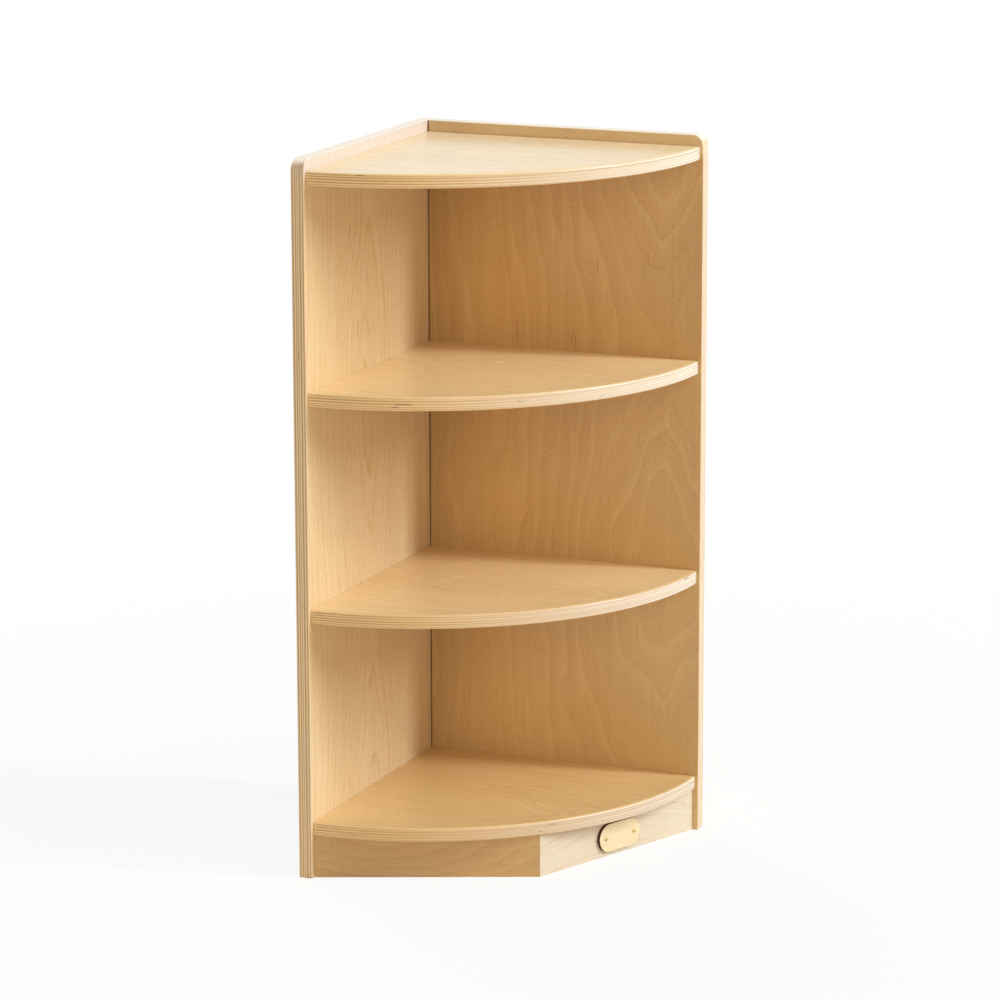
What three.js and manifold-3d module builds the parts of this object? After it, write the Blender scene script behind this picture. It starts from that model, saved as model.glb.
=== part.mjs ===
// A quarter-round corner shelf unit in birch plywood, in millimetres, with Z up.
// Two upright panels meet at the back corner, four quarter-round shelves sit between them,
// and two mitred kick boards close the space under the bottom shelf.
// The unit opens towards +X and -Y. Its origin is the middle of the footprint, on the floor.
import * as THREE from "three";
import { mergeVertices } from "three/addons/utils/BufferGeometryUtils.js";
import Module from "manifold-3d";

// Overall sizes
const unitHeight = 760;
const wingWidth = 315; // from the inner corner to the front edge of either panel
const rimHeight = 12; // the panels rise this far above the top shelf
const kickHeight = 46; // from the floor to the bottom shelf

// Panels
const panelThickness = 15;
const panelTopRadius = 12; // at the upper front corner
const panelFootRadius = 1.5; // at the lower front corner
const panelArris = 1;
const cornerGap = 0.5; // between the right panel's end and the left panel's face
const cornerEase = 0.8; // chamfer on the right panel's arris beside that gap

// Shelves
const shelfNames = ["bottom_shelf", "lower_shelf", "upper_shelf", "top_shelf"];
const shelfThickness = 15;
const shelfSetback = 4; // from the panels' front edges to the shelf's tips
const shelfArris = 2.5; // along the arc
const seatGap = 0.3; // where one piece of wood meets another

// Kick boards and the glue block behind their mitre
const kickThickness = 15;
const kickSetback = 2.5; // from the shelf's arc to the corners of the kick boards
const blockLeg = 42;
const blockFloorClearance = 3;

// Connecting screws: a countersunk head with a hexagon socket, a smooth neck and a thread
const screwLength = 50;
const screwHeadRadius = 5;
const screwHeadRim = 0.8;
const screwHeadHeight = 3;
const screwNeckRadius = 3.5;
const screwNeckLength = 12;
const screwThreadRadius = 3.1;
const screwTipRadius = 1.4;
const screwTipLength = 3;
const screwRecess = 0.3; // the head lies this far below the panel's face
const socketAcrossFlats = 4;
const socketDepth = 2.4;

// Dowels: a plain rod with a small chamfer at each end
const dowelLength = 30;
const dowelRadius = 4;
const dowelChamfer = 1;
const dowelPanelDepth = 9; // how much of a dowel lies in a panel, or in the bottom shelf

// Bores
const boreFit = 0.3; // on the radius, and at the countersink
const boreEndRoom = 1; // beyond the end of a screw or a dowel
const overrun = 5; // how far every cutter runs past the face that it opens

// Places of the fasteners
const screwCornerInset = 55; // from the inner corner to the screw near it
const screwTipInset = 60; // from the shelf's tip to the screw near it
const kickDowelShares = [0.27, 0.73]; // along a kick board's middle line

// Facets
const shelfArcSteps = 40;
const panelCornerSteps = 6;
const arrisSteps = 3;
const roundSides = 12;
const socketSides = 6;

// Sizes that follow from the ones above
const shelfCount = shelfNames.length;
const shelfRadius = wingWidth - shelfSetback;
const bayHeight =
  (unitHeight - rimHeight - kickHeight - shelfCount * shelfThickness) / (shelfCount - 1);
const undersideOf = (level) => kickHeight + level * (bayHeight + shelfThickness);
const screwOffsets = [screwCornerInset, shelfRadius - screwTipInset];
const dowelOffset = (screwCornerInset + shelfRadius - screwTipInset) / 2;
const panelMiddle = panelThickness / 2;
const shelfMiddle = shelfThickness / 2;

const right = new THREE.Vector3(1, 0, 0);
const back = new THREE.Vector3(0, 1, 0);
const up = new THREE.Vector3(0, 0, 1);
const front = back.clone().negate();
const down = up.clone().negate();

const wasm = await Module();
wasm.setup();

// A closed geometry as a solid that can be cut.
function solid(geometry) {
  const bare = geometry.index ? geometry.toNonIndexed() : geometry.clone();
  bare.deleteAttribute("normal");
  bare.deleteAttribute("uv");
  const merged = mergeVertices(bare);
  return new wasm.Manifold(
    new wasm.Mesh({
      numProp: 3,
      vertProperties: merged.attributes.position.array,
      triVerts: new Uint32Array(merged.index.array),
    }),
  );
}

// The geometry of a solid, with a normal for each face.
function geometryOf(body) {
  const { vertProperties, triVerts } = body.getMesh();
  const indexed = new THREE.BufferGeometry();
  indexed.setAttribute("position", new THREE.BufferAttribute(vertProperties, 3));
  indexed.setIndex(new THREE.BufferAttribute(triVerts, 1));
  const faceted = indexed.toNonIndexed();
  faceted.computeVertexNormals();
  return faceted;
}

// A body with every cutter taken out of it.
const cut = (body, cutters) =>
  cutters.reduce((rest, cutter) => rest.subtract(solid(cutter)), body);

// The matrix that puts a piece drawn along +Z at a point, lying along a direction.
function pose(at, direction) {
  const turn = new THREE.Quaternion().setFromUnitVectors(up, direction);
  return new THREE.Matrix4().compose(at, turn, new THREE.Vector3(1, 1, 1));
}

// Points on an arc, both ends included.
function arc(centre, radius, from, to, steps) {
  return Array.from({ length: steps + 1 }, (_, i) => {
    const angle = from + ((to - from) * i) / steps;
    return new THREE.Vector2(
      centre.x + radius * Math.cos(angle),
      centre.y + radius * Math.sin(angle),
    );
  });
}

// A board of the given outline, from z = 0 up, with rounded arrises where asked.
function board(outline, thickness, arris = 0) {
  const geometry = new THREE.ExtrudeGeometry(new THREE.Shape(outline), {
    depth: thickness - 2 * arris,
    bevelEnabled: arris > 0,
    bevelThickness: arris,
    bevelSize: arris,
    bevelOffset: -arris,
    bevelSegments: arrisSteps,
  });
  return geometry.translate(0, 0, arris);
}

// A block between two corners.
function block(low, high) {
  const size = high.clone().sub(low);
  const middle = high.clone().add(low).multiplyScalar(0.5);
  return new THREE.BoxGeometry(size.x, size.y, size.z).translate(middle.x, middle.y, middle.z);
}

// A turned solid along +Z, from [radius, height] pairs that start and end on the axis.
function turned(profile) {
  const points = profile.map(([radius, height]) => new THREE.Vector2(radius, height));
  return new THREE.LatheGeometry(points, roundSides).rotateX(Math.PI / 2);
}

// Fasteners

function screwGeometry() {
  const body = turned([
    [0, 0],
    [screwHeadRadius, 0],
    [screwHeadRadius, screwHeadRim],
    [screwNeckRadius, screwHeadHeight],
    [screwNeckRadius, screwNeckLength],
    [screwThreadRadius, screwNeckLength],
    [screwThreadRadius, screwLength - screwTipLength],
    [screwTipRadius, screwLength],
    [0, screwLength],
  ]);
  const socketRadius = socketAcrossFlats / Math.sqrt(3);
  const socketHeight = socketDepth + overrun;
  const socket = new THREE.CylinderGeometry(
    socketRadius,
    socketRadius,
    socketHeight,
    socketSides,
  ).rotateX(Math.PI / 2);
  socket.translate(0, 0, socketDepth - socketHeight / 2);
  return geometryOf(cut(solid(body), [socket]));
}

function dowelGeometry() {
  return turned([
    [0, 0],
    [dowelRadius - dowelChamfer, 0],
    [dowelRadius, dowelChamfer],
    [dowelRadius, dowelLength - dowelChamfer],
    [dowelRadius - dowelChamfer, dowelLength],
    [0, dowelLength],
  ]);
}

// Each fastener starts at a point, on the outer face of the first piece for a screw and on
// the meeting face for a dowel, and runs along a direction into the second piece.

// The countersunk hole through a panel.
function screwHole(at, direction) {
  const head = screwHeadRadius + boreFit;
  const neck = screwNeckRadius + boreFit;
  return turned([
    [0, -overrun],
    [head, -overrun],
    [head, screwRecess + screwHeadRim],
    [neck, screwRecess + screwHeadHeight],
    [neck, panelThickness + overrun],
    [0, panelThickness + overrun],
  ]).applyMatrix4(pose(at, direction));
}

// The pilot hole in the piece behind the panel.
function pilotHole(at, direction) {
  const radius = screwThreadRadius + boreFit;
  const neck = screwNeckRadius + boreFit;
  const neckEnd = Math.max(screwRecess + screwNeckLength, panelThickness) + boreEndRoom;
  const end = screwRecess + screwLength + boreEndRoom;
  return turned([
    [0, 0],
    [neck, 0],
    [neck, neckEnd],
    [radius, neckEnd],
    [radius, end],
    [0, end],
  ]).applyMatrix4(pose(at, direction));
}

// The blind hole for a dowel, on both sides of the meeting face.
function dowelHole(at, direction) {
  const radius = dowelRadius + boreFit;
  const start = -dowelPanelDepth - boreEndRoom;
  const end = dowelLength - dowelPanelDepth + boreEndRoom;
  return turned([
    [0, start],
    [radius, start],
    [radius, end],
    [0, end],
  ]).applyMatrix4(pose(at, direction));
}

// The fasteners of each shelf, in the shelf's own frame, whose zero is its underside.
// The left ones come through the left panel along +X, the right ones along -Y.
const shelfFasteners = ["left", "right"].map((side) => {
  const direction = side === "left" ? right : front;
  const along = (offset, depth) =>
    side === "left"
      ? new THREE.Vector3(depth, -offset, shelfMiddle)
      : new THREE.Vector3(offset, -depth, shelfMiddle);
  return {
    side,
    direction,
    screws: screwOffsets.map((offset) => along(offset, -panelThickness)),
    dowel: along(dowelOffset, 0),
  };
});

// The fasteners of the corner joint run along +X, through the left panel into the right one:
// a screw in the middle of each bay and a dowel at the level of each shelf.
const cornerScrews = Array.from(
  { length: shelfCount - 1 },
  (_, bay) =>
    new THREE.Vector3(
      -panelThickness,
      panelMiddle,
      undersideOf(bay) + shelfThickness + bayHeight / 2,
    ),
);
const cornerDowels = shelfNames.map(
  (_, level) => new THREE.Vector3(0, panelMiddle, undersideOf(level) + shelfMiddle),
);

// Panels

// An upright panel's outline, from its back end at x = backEnd to its front edge,
// with the two front corners rounded.
function panelOutline(backEnd) {
  const foot = panelFootRadius;
  const top = panelTopRadius;
  const lower = new THREE.Vector2(wingWidth - foot, foot);
  const upper = new THREE.Vector2(wingWidth - top, unitHeight - top);
  return [
    new THREE.Vector2(backEnd, 0),
    ...arc(lower, foot, -Math.PI / 2, 0, panelCornerSteps),
    ...arc(upper, top, 0, Math.PI / 2, panelCornerSteps),
    new THREE.Vector2(backEnd, unitHeight),
  ];
}

// The holes that the shelves' fasteners need in one panel.
function shelfHolesIn(side) {
  const { screws, dowel, direction } = shelfFasteners.find((set) => set.side === side);
  return shelfNames.flatMap((_, level) => {
    const lift = new THREE.Vector3(0, 0, undersideOf(level));
    return [
      ...screws.map((at) => screwHole(at.clone().add(lift), direction)),
      dowelHole(dowel.clone().add(lift), direction),
    ];
  });
}

// The left panel runs through to the back face of the unit.
function leftPanel() {
  const body = board(panelOutline(-panelThickness), panelThickness, panelArris);
  const standing = new THREE.Matrix4().makeBasis(front, up, right.clone().negate());
  const holes = [
    ...shelfHolesIn("left"),
    ...cornerScrews.map((at) => screwHole(at, right)),
    ...cornerDowels.map((at) => dowelHole(at, right)),
  ];
  return geometryOf(cut(solid(body.applyMatrix4(standing)), holes));
}

// The right panel's end butts on the left panel's inner face.
function rightPanel() {
  const body = board(panelOutline(cornerGap - overrun), panelThickness, panelArris);
  const standing = new THREE.Matrix4()
    .makeBasis(right, up, front)
    .setPosition(0, panelThickness, 0);
  const end = block(
    new THREE.Vector3(-overrun - overrun, -overrun, -overrun),
    new THREE.Vector3(cornerGap, panelThickness + overrun, unitHeight + overrun),
  );
  const easeSide = cornerEase * Math.SQRT2;
  const ease = new THREE.BoxGeometry(easeSide, easeSide, unitHeight + 2 * overrun)
    .rotateZ(Math.PI / 4)
    .translate(cornerGap, 0, unitHeight / 2);
  const holes = [
    ...shelfHolesIn("right"),
    ...cornerScrews.map((at) => pilotHole(at, right)),
    ...cornerDowels.map((at) => dowelHole(at, right)),
  ];
  return geometryOf(cut(solid(body.applyMatrix4(standing)), [end, ease, ...holes]));
}

// Shelves

// A little more than a quarter disc: it runs past the faces of both panels, so that the
// rounded arris of its arc keeps its full section up to the tips.
function shelfOutline() {
  const corner = new THREE.Vector2(seatGap, -seatGap);
  const radius = shelfRadius - seatGap;
  const beyond = Math.asin(overrun / radius);
  return [
    new THREE.Vector2(seatGap - overrun, overrun - seatGap),
    ...arc(corner, radius, beyond, -Math.PI / 2 - beyond, shelfArcSteps),
  ];
}

// A shelf is trimmed square where it meets the panels.
function shelf(extraHoles) {
  const plate = solid(board(shelfOutline(), shelfThickness, shelfArris));
  const far = shelfRadius + overrun;
  const top = shelfThickness + overrun;
  const trims = [
    block(
      new THREE.Vector3(-2 * overrun, -seatGap, -overrun),
      new THREE.Vector3(far, 2 * overrun, top),
    ),
    block(
      new THREE.Vector3(-2 * overrun, -far, -overrun),
      new THREE.Vector3(seatGap, 2 * overrun, top),
    ),
  ];
  const holes = shelfFasteners.flatMap(({ screws, dowel, direction }) => [
    ...screws.map((at) => pilotHole(at, direction)),
    dowelHole(dowel, direction),
  ]);
  return geometryOf(cut(plate, [...trims, ...holes, ...extraHoles]));
}

// Kick boards

// The boards are two chords of one circle, from each panel's face to the middle of the arc,
// where they meet in a mitre. These are the left board's lines. The right one mirrors it.
const kickRadius = shelfRadius - kickSetback;
const kickStart = new THREE.Vector2(0, -kickRadius);
const kickMitre = new THREE.Vector2(kickRadius, -kickRadius).multiplyScalar(Math.SQRT1_2);
const kickAlong = kickMitre.clone().sub(kickStart).normalize();
const kickInward = new THREE.Vector2(-kickAlong.y, kickAlong.x);

// The point of the line at this depth behind the board's face that is gap away from the panel.
function kickAtPanel(depth, gap) {
  const start = kickStart.clone().addScaledVector(kickInward, depth);
  return start.addScaledVector(kickAlong, (gap - start.x) / kickAlong.x);
}

// The point of the same line that is gap away from the plane of the mitre.
function kickAtMitre(depth, gap) {
  const start = kickStart.clone().addScaledVector(kickInward, depth);
  const short = -gap * Math.SQRT2 - start.x - start.y;
  return start.addScaledVector(kickAlong, short / (kickAlong.x + kickAlong.y));
}

const mirrored = (point) => new THREE.Vector2(-point.y, -point.x);
const onSide = (side, point) => (side === "left" ? point : mirrored(point));

function kickDowels(side) {
  const depth = kickThickness / 2;
  const start = kickAtPanel(depth, 0);
  const end = kickAtMitre(depth, 0);
  return kickDowelShares.map((share) => {
    const { x, y } = onSide(side, start.clone().lerp(end, share));
    return new THREE.Vector3(x, y, kickHeight);
  });
}

function kickBoard(side) {
  const mitreGap = seatGap / 2;
  const outline = [
    kickAtPanel(0, seatGap),
    kickAtMitre(0, mitreGap),
    kickAtMitre(kickThickness, mitreGap),
    kickAtPanel(kickThickness, seatGap),
  ].map((point) => onSide(side, point));
  const body = solid(board(outline, kickHeight - seatGap));
  return geometryOf(cut(body, kickDowels(side).map((at) => dowelHole(at, down))));
}

// A three-sided block in the angle behind the mitre.
function glueBlock() {
  const depth = kickThickness + seatGap;
  const nose = kickAtMitre(depth, 0);
  const leg = nose.clone().addScaledVector(kickAlong, -blockLeg);
  const height = kickHeight - seatGap - blockFloorClearance;
  return board([nose, leg, mirrored(leg)], height);
}

// Materials

const plywood = (color, roughness) =>
  new THREE.MeshStandardMaterial({ color, roughness, metalness: 0 });
const panelPlywood = () => plywood("#dcb98a", 0.5);
const shelfPlywood = () => plywood("#e6c79c", 0.45);
const kickPlywood = () => plywood("#d9b88d", 0.5);
const glueBlockPine = () => plywood("#dcc08f", 0.7);
const dowelBeech = () => plywood("#cfa274", 0.7);
const zincSteel = () =>
  new THREE.MeshStandardMaterial({ color: "#b9bcc0", roughness: 0.35, metalness: 0.9 });

// Assembly, in a frame whose origin is the inner corner between the panels, on the floor

const assembly = new THREE.Group();

function place(name, geometry, material, matrix = new THREE.Matrix4()) {
  const mesh = new THREE.Mesh(geometry, material);
  mesh.name = name;
  mesh.applyMatrix4(matrix);
  assembly.add(mesh);
}

const screw = screwGeometry();
const dowel = dowelGeometry();

function placeScrew(name, at, direction) {
  const head = at.clone().addScaledVector(direction, screwRecess);
  place(name, screw, zincSteel(), pose(head, direction));
}

function placeDowel(name, at, direction) {
  const end = at.clone().addScaledVector(direction, -dowelPanelDepth);
  place(name, dowel, dowelBeech(), pose(end, direction));
}

place("left_panel", leftPanel(), panelPlywood());
place("right_panel", rightPanel(), panelPlywood());
cornerScrews.forEach((at, i) => placeScrew(`corner_screw_${i + 1}`, at, right));
cornerDowels.forEach((at, i) => placeDowel(`corner_dowel_${i + 1}`, at, right));

const sides = ["left", "right"];
const kickHoles = sides.flatMap((side) =>
  kickDowels(side).map((at) => dowelHole(at.clone().setZ(0), down)),
);

shelfNames.forEach((name, level) => {
  const lift = new THREE.Vector3(0, 0, undersideOf(level));
  const geometry = shelf(level === 0 ? kickHoles : []);
  place(name, geometry, shelfPlywood(), new THREE.Matrix4().setPosition(lift));
  shelfFasteners.forEach(({ side, screws, dowel: start, direction }) => {
    screws.forEach((at, i) => {
      placeScrew(`${name}_${side}_screw_${i + 1}`, at.clone().add(lift), direction);
    });
    placeDowel(`${name}_${side}_dowel`, start.clone().add(lift), direction);
  });
});

sides.forEach((side) => {
  place(`${side}_kick_board`, kickBoard(side), kickPlywood());
  kickDowels(side).forEach((at, i) => placeDowel(`${side}_kick_dowel_${i + 1}`, at, down));
});
const blockFoot = new THREE.Vector3(0, 0, blockFloorClearance);
place("kick_glue_block", glueBlock(), glueBlockPine(), new THREE.Matrix4().setPosition(blockFoot));

// The footprint is square, so its middle lies the same way from the inner corner in X and Y.
const middle = (wingWidth - panelThickness) / 2;
assembly.position.set(-middle, middle, 0);

const unit = new THREE.Group();
unit.add(assembly);

export default unit;
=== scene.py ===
import math

import bmesh
import bpy
from mathutils import Matrix, Vector


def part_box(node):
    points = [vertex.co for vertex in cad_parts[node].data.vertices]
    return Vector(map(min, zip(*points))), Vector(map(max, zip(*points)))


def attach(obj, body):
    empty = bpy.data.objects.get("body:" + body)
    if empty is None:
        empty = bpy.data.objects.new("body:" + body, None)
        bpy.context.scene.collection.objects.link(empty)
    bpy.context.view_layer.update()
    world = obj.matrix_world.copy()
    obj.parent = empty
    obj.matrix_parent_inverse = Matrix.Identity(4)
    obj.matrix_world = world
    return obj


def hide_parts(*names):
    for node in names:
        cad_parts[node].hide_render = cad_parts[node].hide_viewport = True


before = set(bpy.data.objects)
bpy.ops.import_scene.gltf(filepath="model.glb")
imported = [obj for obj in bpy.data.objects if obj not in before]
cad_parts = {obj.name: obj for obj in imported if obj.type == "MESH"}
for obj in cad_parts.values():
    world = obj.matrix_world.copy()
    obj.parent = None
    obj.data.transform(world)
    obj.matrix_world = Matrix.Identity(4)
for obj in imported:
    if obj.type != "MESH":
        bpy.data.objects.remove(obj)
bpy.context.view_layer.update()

# Places and sizes are in metres and in the CAD model's frame, unless a comment says otherwise
X, Y, Z = Vector((1, 0, 0)), Vector((0, 1, 0)), Vector((0, 0, 1))
SHARP_ANGLE = math.radians(35)


# Colours and node trees

def linear(red, green, blue):
    """The linear colour of an sRGB colour given in 0 to 255."""
    def channel(value):
        value /= 255
        return value / 12.92 if value <= 0.04045 else ((value + 0.055) / 1.055) ** 2.4
    return (channel(red), channel(green), channel(blue), 1.0)


class Graph:
    """A shader node tree with short calls: each call adds a node and gives its output."""

    def __init__(self, tree):
        self.tree = tree

    def add(self, kind, inputs=(), **settings):
        node = self.tree.nodes.new(kind)
        for name, value in settings.items():
            setattr(node, name, value)
        for key, value in dict(inputs).items():
            self.put(node.inputs[key], value)
        return node

    def put(self, socket, value):
        if isinstance(value, bpy.types.NodeSocket):
            self.tree.links.new(value, socket)
        else:
            socket.default_value = value

    def math(self, operation, *values, clamp=False):
        node = self.add("ShaderNodeMath", enumerate(values), operation=operation, use_clamp=clamp)
        return node.outputs[0]

    def vector(self, operation, *values):
        node = self.add("ShaderNodeVectorMath", enumerate(values), operation=operation)
        return node.outputs["Value" if operation in ("DOT_PRODUCT", "LENGTH") else "Vector"]

    def join(self, x, y, z):
        return self.add("ShaderNodeCombineXYZ", {0: x, 1: y, 2: z}).outputs[0]

    def noise(self, at, scale=1.0, detail=2.0, roughness=0.5):
        inputs = {"Vector": at, "Scale": scale, "Detail": detail, "Roughness": roughness}
        return self.add("ShaderNodeTexNoise", inputs).outputs["Fac"]

    def random(self, value):
        """A number from 0 to 1 that looks random and depends only on the given one."""
        node = self.add("ShaderNodeTexWhiteNoise", {"W": value}, noise_dimensions="1D")
        return node.outputs["Value"]

    def span(self, value, low, high, to_low=0.0, to_high=1.0):
        """A smooth step from one result to another while the value goes from low to high."""
        inputs = {"Value": value, "From Min": low, "From Max": high, "To Min": to_low, "To Max": to_high}
        return self.add("ShaderNodeMapRange", inputs, interpolation_type="SMOOTHSTEP").outputs[0]

    def mix(self, factor, first, second):
        node = self.add("ShaderNodeMix", data_type="RGBA")
        self.put(node.inputs["Factor"], factor)
        self.put(node.inputs[6], first)
        self.put(node.inputs[7], second)
        return node.outputs[2]

    def bump(self, height, relief):
        return self.add("ShaderNodeBump", {"Height": height, **relief}).outputs[0]

    def object_place(self):
        return self.add("ShaderNodeTexCoord").outputs["Object"]

    def surface_normal(self):
        return self.add("ShaderNodeNewGeometry").outputs["Normal"]


def new_material(name):
    material = bpy.data.materials.new(name)
    material.use_nodes = True
    graph = Graph(material.node_tree)
    return material, graph, material.node_tree.nodes["Principled BSDF"]


# Plywood: the plies

# The plies along the face grain are thicker than the crossed ones between them. The share is
# that of the thicker one in a pair, and the margin, the unevenness and the waver are in pairs.
# The unevenness has its scale per board's thickness, and the waver per metre. The shift keeps
# the noise of one ply apart from that of the next.
PLY_COUNT = 11
LONG_PLY_SHARE = 0.58
PLY_MARGIN = 0.001
PLY_UNEVENNESS = 0.9
PLY_UNEVEN_SCALE = 2.6
PLY_WAVER = 0.25
PLY_WAVER_SCALE = 9.0
PLY_SHIFT = 17.3

# Plywood: noise scales per metre, along the grain and across it, or one for both

FIBRE_SCALE = (26.0, 1100.0)
FLECK_SCALE = (300.0, 800.0)
STREAK_SCALE = (4.5, 150.0)
CLOUD_SCALE = (2.2, 9.0)
PORE_SCALE = (120.0, 1500.0)
TICK_SCALE = (24.0, 420.0)
TICK_GROUP_SCALE = (5.0, 12.0)
RING_WOBBLE_SCALE = (5.0, 16.0)
HEART_WANDER_SCALE = 2.3
KNOT_SCALE = 11.0
VOID_SCALE = 26.0

# Plywood: the year rings

# The wander, the spacing and the reach are in metres and the roundness is in square metres.
# The wobble and the raggedness are in rings, and the line and the band are in shares of a ring.
# The least strengths of an eye and of a ring are shares of the full one.
HEART_WANDER = 0.05
HEART_ROUNDNESS = 0.0003
EYE_SPACING = 0.50
EYE_REACH = (0.02, 0.14)
EYE_LEAST = 0.15
RING_WOBBLE = 3.6
RING_RAGGEDNESS = 0.5
RING_LINE_START = 0.72
RING_LINE_PEAK = 0.96
RING_BAND_PEAK = 0.06
RING_BAND_END = 0.5
RING_LEAST = 0.1

# Plywood: small marks and edges

# A mark fades in between its two levels of noise, and a pin knot fades out between its radii,
# which are in cells of its pattern
PORE_LEVELS = (0.70, 0.80)
TICK_LEVELS = (0.69, 0.74)
TICK_GROUP_LEVELS = (0.56, 0.64)
KNOT_CHOICE = (0.74, 0.76)
KNOT_RADII = (0.006, 0.016)
VOID_LEVELS = (0.70, 0.74)

# An edge is where the surface faces little along the board's thickness. A glue line's width is
# in shares of a pair of plies.
EDGE_FACING = (0.35, 0.95)
EDGE_SHARE = 0.75
GLUE_WIDTH = (0.01, 0.08)
END_POWER = 0.8
END_LEAST = 0.65

# Plywood: tones, stains and lacquer

# How far each noise moves the tone from pale to deep, and how strongly each mark stains. The
# drift of tone is painted shade: it deepens the wood along the board, which on the panels is
# upwards, within its reach, in metres along the board.
TONE_START = -0.47
CLOUD_TONE = 0.45
STREAK_TONE = 0.35
FIBRE_TONE = 0.3
FLECK_TONE = 0.8
SHADE_DRIFT_REACH = (0.10, 0.62)
GLUE_STAIN = 0.2
PORE_STAIN = 0.2
TICK_STAIN = 0.4
KNOT_STAIN = 0.75
VOID_STAIN = 0.65
MARK_COLOR = linear(112, 70, 34)
END_COLOR = linear(202, 159, 104)

ROUGHNESS = 0.18
FIBRE_ROUGHNESS = 0.14
EDGE_ROUGHNESS = 0.06
LACQUER_IOR = 1.45
LACQUERED_RELIEF = {"Strength": 0.35, "Distance": 0.00012}
FIBRE_HEIGHT = 0.5
STREAK_HEIGHT = 0.5
VOID_DEPTH = 3.0
CROSSED_PLY_DEPTH = 1.2

PLYWOOD_INPUTS = {
    "NodeSocketVector": ("Grain", "Across", "Through", "Origin"),
    "NodeSocketFloat": ("Thickness", "Seed", "Heart", "Middle", "Rings", "Eyes", "Lines", "Bands",
                        "ShadeDrift"),
    "NodeSocketColor": ("Pale", "Deep", "Edge", "End"),
}
PLYWOOD_OUTPUTS = {"Color": "NodeSocketColor", "Roughness": "NodeSocketFloat",
                   "Height": "NodeSocketFloat"}


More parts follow.
